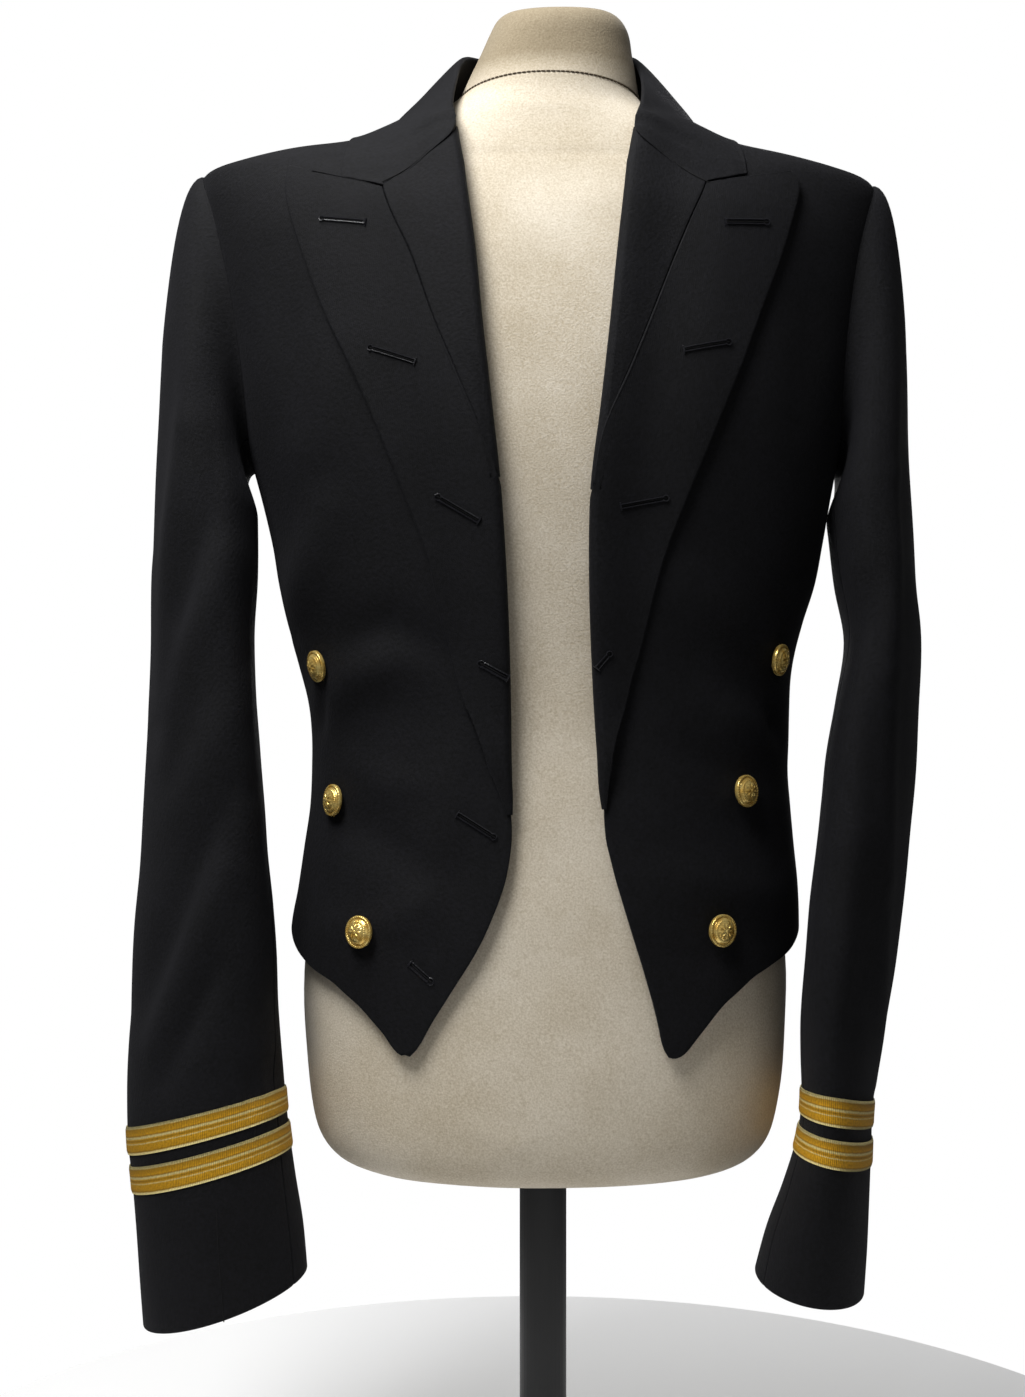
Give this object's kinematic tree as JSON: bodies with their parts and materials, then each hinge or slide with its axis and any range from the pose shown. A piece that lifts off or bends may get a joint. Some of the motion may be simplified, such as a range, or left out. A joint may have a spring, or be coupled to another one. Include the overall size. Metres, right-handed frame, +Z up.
{
  "type": "mess jacket on a limbless dress form",
  "caption": "Short open evening uniform jacket with peaked lapels, gilt buttons and gold cuff lace, worn on a limbless dress form with a plain stand.",
  "frame": {"origin": "middle of the stand's underside, on the floor under the middle of the form", "axes": "+Z up the form; the jacket faces -Y; +X is the wearer's left"},
  "size_m": [0.4634, 0.27, 0.908],
  "materials": {
    "wool_cloth": "very dark navy barathea wool, matt with a soft nap",
    "gold_lace": "woven metallic gold lace with a fine rib",
    "gilt": "bright gilt brass, stamped",
    "form_cover": "beige cotton jersey stretched over the form",
    "stand_metal": "satin black enamel"
  },
  "bodies": {
    "root": {"front_left": "wool_cloth", "back_left": "wool_cloth", "top_sleeve_left": "wool_cloth", "under_sleeve_left": "wool_cloth", "facing_left": "wool_cloth", "lapel_left": "wool_cloth", "lace_upper_left": "gold_lace", "lace_lower_left": "gold_lace", "button_1_left": "gilt", "button_2_left": "gilt", "button_3_left": "gilt", "front_right": "wool_cloth", "back_right": "wool_cloth", "top_sleeve_right": "wool_cloth", "under_sleeve_right": "wool_cloth", "facing_right": "wool_cloth", "lapel_right": "wool_cloth", "lace_upper_right": "gold_lace", "lace_lower_right": "gold_lace", "button_1_right": "gilt", "button_2_right": "gilt", "button_3_right": "gilt", "collar": "wool_cloth", "form_torso": "form_cover", "form_neck": "form_cover", "stand_base": "stand_metal", "stand_post": "stand_metal"}
  },
  "joints": []
}
